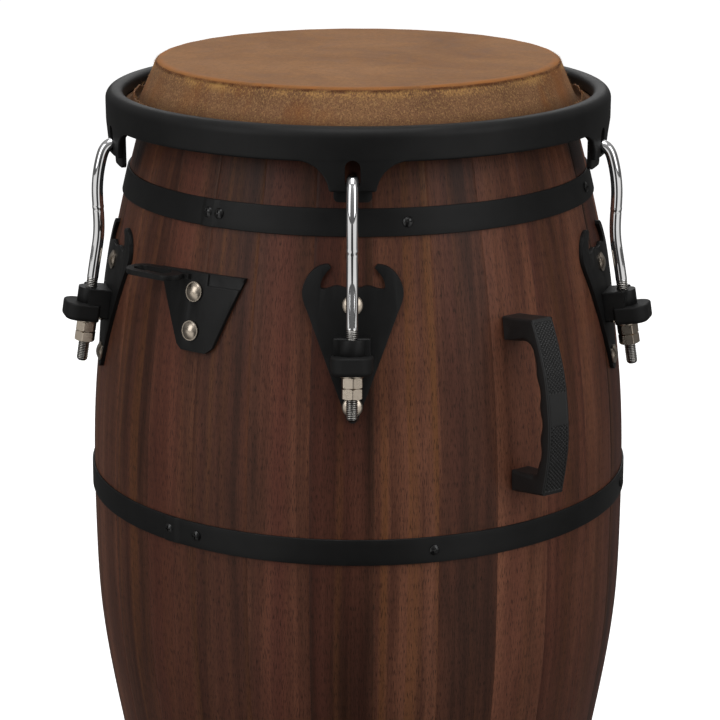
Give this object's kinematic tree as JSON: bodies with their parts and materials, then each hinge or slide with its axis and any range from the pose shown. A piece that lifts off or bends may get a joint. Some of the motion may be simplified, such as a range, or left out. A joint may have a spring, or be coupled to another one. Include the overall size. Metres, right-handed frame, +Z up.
{
  "type": "conga drum",
  "caption": "Free-standing barrel drum: dark stave shell with steel bands, rawhide head under a steel rim, hooked tension rods, side handle and rubber foot.",
  "frame": {"origin": "centre of the floor contact ring, on the shell's axis", "axes": "+Z up along the shell's axis to the head; -Y towards the lug that faces the player; the handle is 36 degrees from that lug towards +X"},
  "size_m": [0.4164, 0.4139, 0.713],
  "materials": {
    "wood": "satin lacquer over dark stain",
    "black_steel": "satin black powder coat",
    "black_screws": "black zinc",
    "chrome": "polished",
    "nickel": "satin nickel",
    "zinc_steel": "zinc",
    "rawhide": "dry matte hide",
    "black_plastic": "knurled and matte",
    "rubber": "matte"
  },
  "bodies": {
    "drum_shell": {"accessory_bracket": "black_steel", "belly_band": "black_steel", "belly_band_screws": "black_screws", "bracket_bolt_nuts": "zinc_steel", "bracket_bolts": "nickel", "bracket_washers": "zinc_steel", "handle": "black_plastic", "handle_bolts": "zinc_steel", "handle_washers": "zinc_steel", "lower_band": "black_steel", "lower_band_screws": "black_screws", "lug_boss_1": "black_steel", "lug_boss_2": "black_steel", "lug_boss_3": "black_steel", "lug_boss_4": "black_steel", "lug_boss_5": "black_steel", "lug_boss_screws": "nickel", "lug_cap_1": "rubber", "lug_cap_2": "rubber", "lug_cap_3": "rubber", "lug_cap_4": "rubber", "lug_cap_5": "rubber", "rubber_foot": "rubber", "shell_staves": "wood", "side_plate_1": "black_steel", "side_plate_2": "black_steel", "side_plate_3": "black_steel", "side_plate_4": "black_steel", "side_plate_5": "black_steel", "side_plate_bolt_nuts": "zinc_steel", "side_plate_bolts": "nickel", "side_plate_washers": "zinc_steel", "upper_band": "black_steel", "upper_band_screws": "black_screws"},
    "crown": {"rim": "black_steel", "hook_seat_plates": "black_steel", "drum_head": "rawhide", "flesh_hoop": "zinc_steel"},
    "rod_1": {"tension_rod_1": "chrome"},
    "nuts_1": {"tuning_nut_1": "nickel", "lock_nut_1": "nickel"},
    "rod_2": {"tension_rod_2": "chrome"},
    "nuts_2": {"tuning_nut_2": "nickel", "lock_nut_2": "nickel"},
    "rod_3": {"tension_rod_3": "chrome"},
    "nuts_3": {"tuning_nut_3": "nickel", "lock_nut_3": "nickel"},
    "rod_4": {"tension_rod_4": "chrome"},
    "nuts_4": {"tuning_nut_4": "nickel", "lock_nut_4": "nickel"},
    "rod_5": {"tension_rod_5": "chrome"},
    "nuts_5": {"tuning_nut_5": "nickel", "lock_nut_5": "nickel"}
  },
  "joints": [
    {"name": "crown_lift", "type": "slide", "parent": "drum_shell", "child": "crown", "axis": [0, 0, 1], "range_m": [0, 0.01]},
    {"name": "rod_1_slide", "type": "slide", "parent": "drum_shell", "child": "rod_1", "axis": [-0.0013, 0.1616, 0.9869], "range_m": [0, 0.01014]},
    {"name": "nuts_1_turn", "type": "hinge", "parent": "drum_shell", "child": "nuts_1", "pos_m": [0.00157, -0.20039, 0.5342], "axis": [0.0013, -0.1616, -0.9869], "range_deg": [0, 2925]},
    {"name": "rod_2_slide", "type": "slide", "parent": "drum_shell", "child": "rod_2", "axis": [-0.1541, 0.0487, 0.9869], "range_m": [0, 0.01014]},
    {"name": "nuts_2_turn", "type": "hinge", "parent": "drum_shell", "child": "nuts_2", "pos_m": [0.19107, -0.06043, 0.5342], "axis": [0.1541, -0.0487, -0.9869], "range_deg": [0, 2925]},
    {"name": "rod_3_slide", "type": "slide", "parent": "drum_shell", "child": "rod_3", "axis": [-0.094, -0.1315, 0.9869], "range_m": [0, 0.01014]},
    {"name": "nuts_3_turn", "type": "hinge", "parent": "drum_shell", "child": "nuts_3", "pos_m": [0.11652, 0.16305, 0.5342], "axis": [0.094, 0.1315, -0.9869], "range_deg": [0, 2925]},
    {"name": "rod_4_slide", "type": "slide", "parent": "drum_shell", "child": "rod_4", "axis": [0.096, -0.13, 0.9869], "range_m": [0, 0.01014]},
    {"name": "nuts_4_turn", "type": "hinge", "parent": "drum_shell", "child": "nuts_4", "pos_m": [-0.11906, 0.1612, 0.5342], "axis": [-0.096, 0.13, -0.9869], "range_deg": [0, 2925]},
    {"name": "rod_5_slide", "type": "slide", "parent": "drum_shell", "child": "rod_5", "axis": [0.1533, 0.0511, 0.9869], "range_m": [0, 0.01014]},
    {"name": "nuts_5_turn", "type": "hinge", "parent": "drum_shell", "child": "nuts_5", "pos_m": [-0.1901, -0.06342, 0.5342], "axis": [-0.1533, -0.0511, -0.9869], "range_deg": [0, 2925]}
  ],
  "couplings": [
    {"joint": "rod_1_slide", "follows": "crown_lift", "ratio": 1.0133},
    {"joint": "nuts_1_turn", "follows": "crown_lift", "rad_per_m": 5093.5},
    {"joint": "rod_2_slide", "follows": "crown_lift", "ratio": 1.0133},
    {"joint": "nuts_2_turn", "follows": "crown_lift", "rad_per_m": 5093.5},
    {"joint": "rod_3_slide", "follows": "crown_lift", "ratio": 1.0133},
    {"joint": "nuts_3_turn", "follows": "crown_lift", "rad_per_m": 5093.5},
    {"joint": "rod_4_slide", "follows": "crown_lift", "ratio": 1.0133},
    {"joint": "nuts_4_turn", "follows": "crown_lift", "rad_per_m": 5093.5},
    {"joint": "rod_5_slide", "follows": "crown_lift", "ratio": 1.0133},
    {"joint": "nuts_5_turn", "follows": "crown_lift", "rad_per_m": 5093.5}
  ]
}
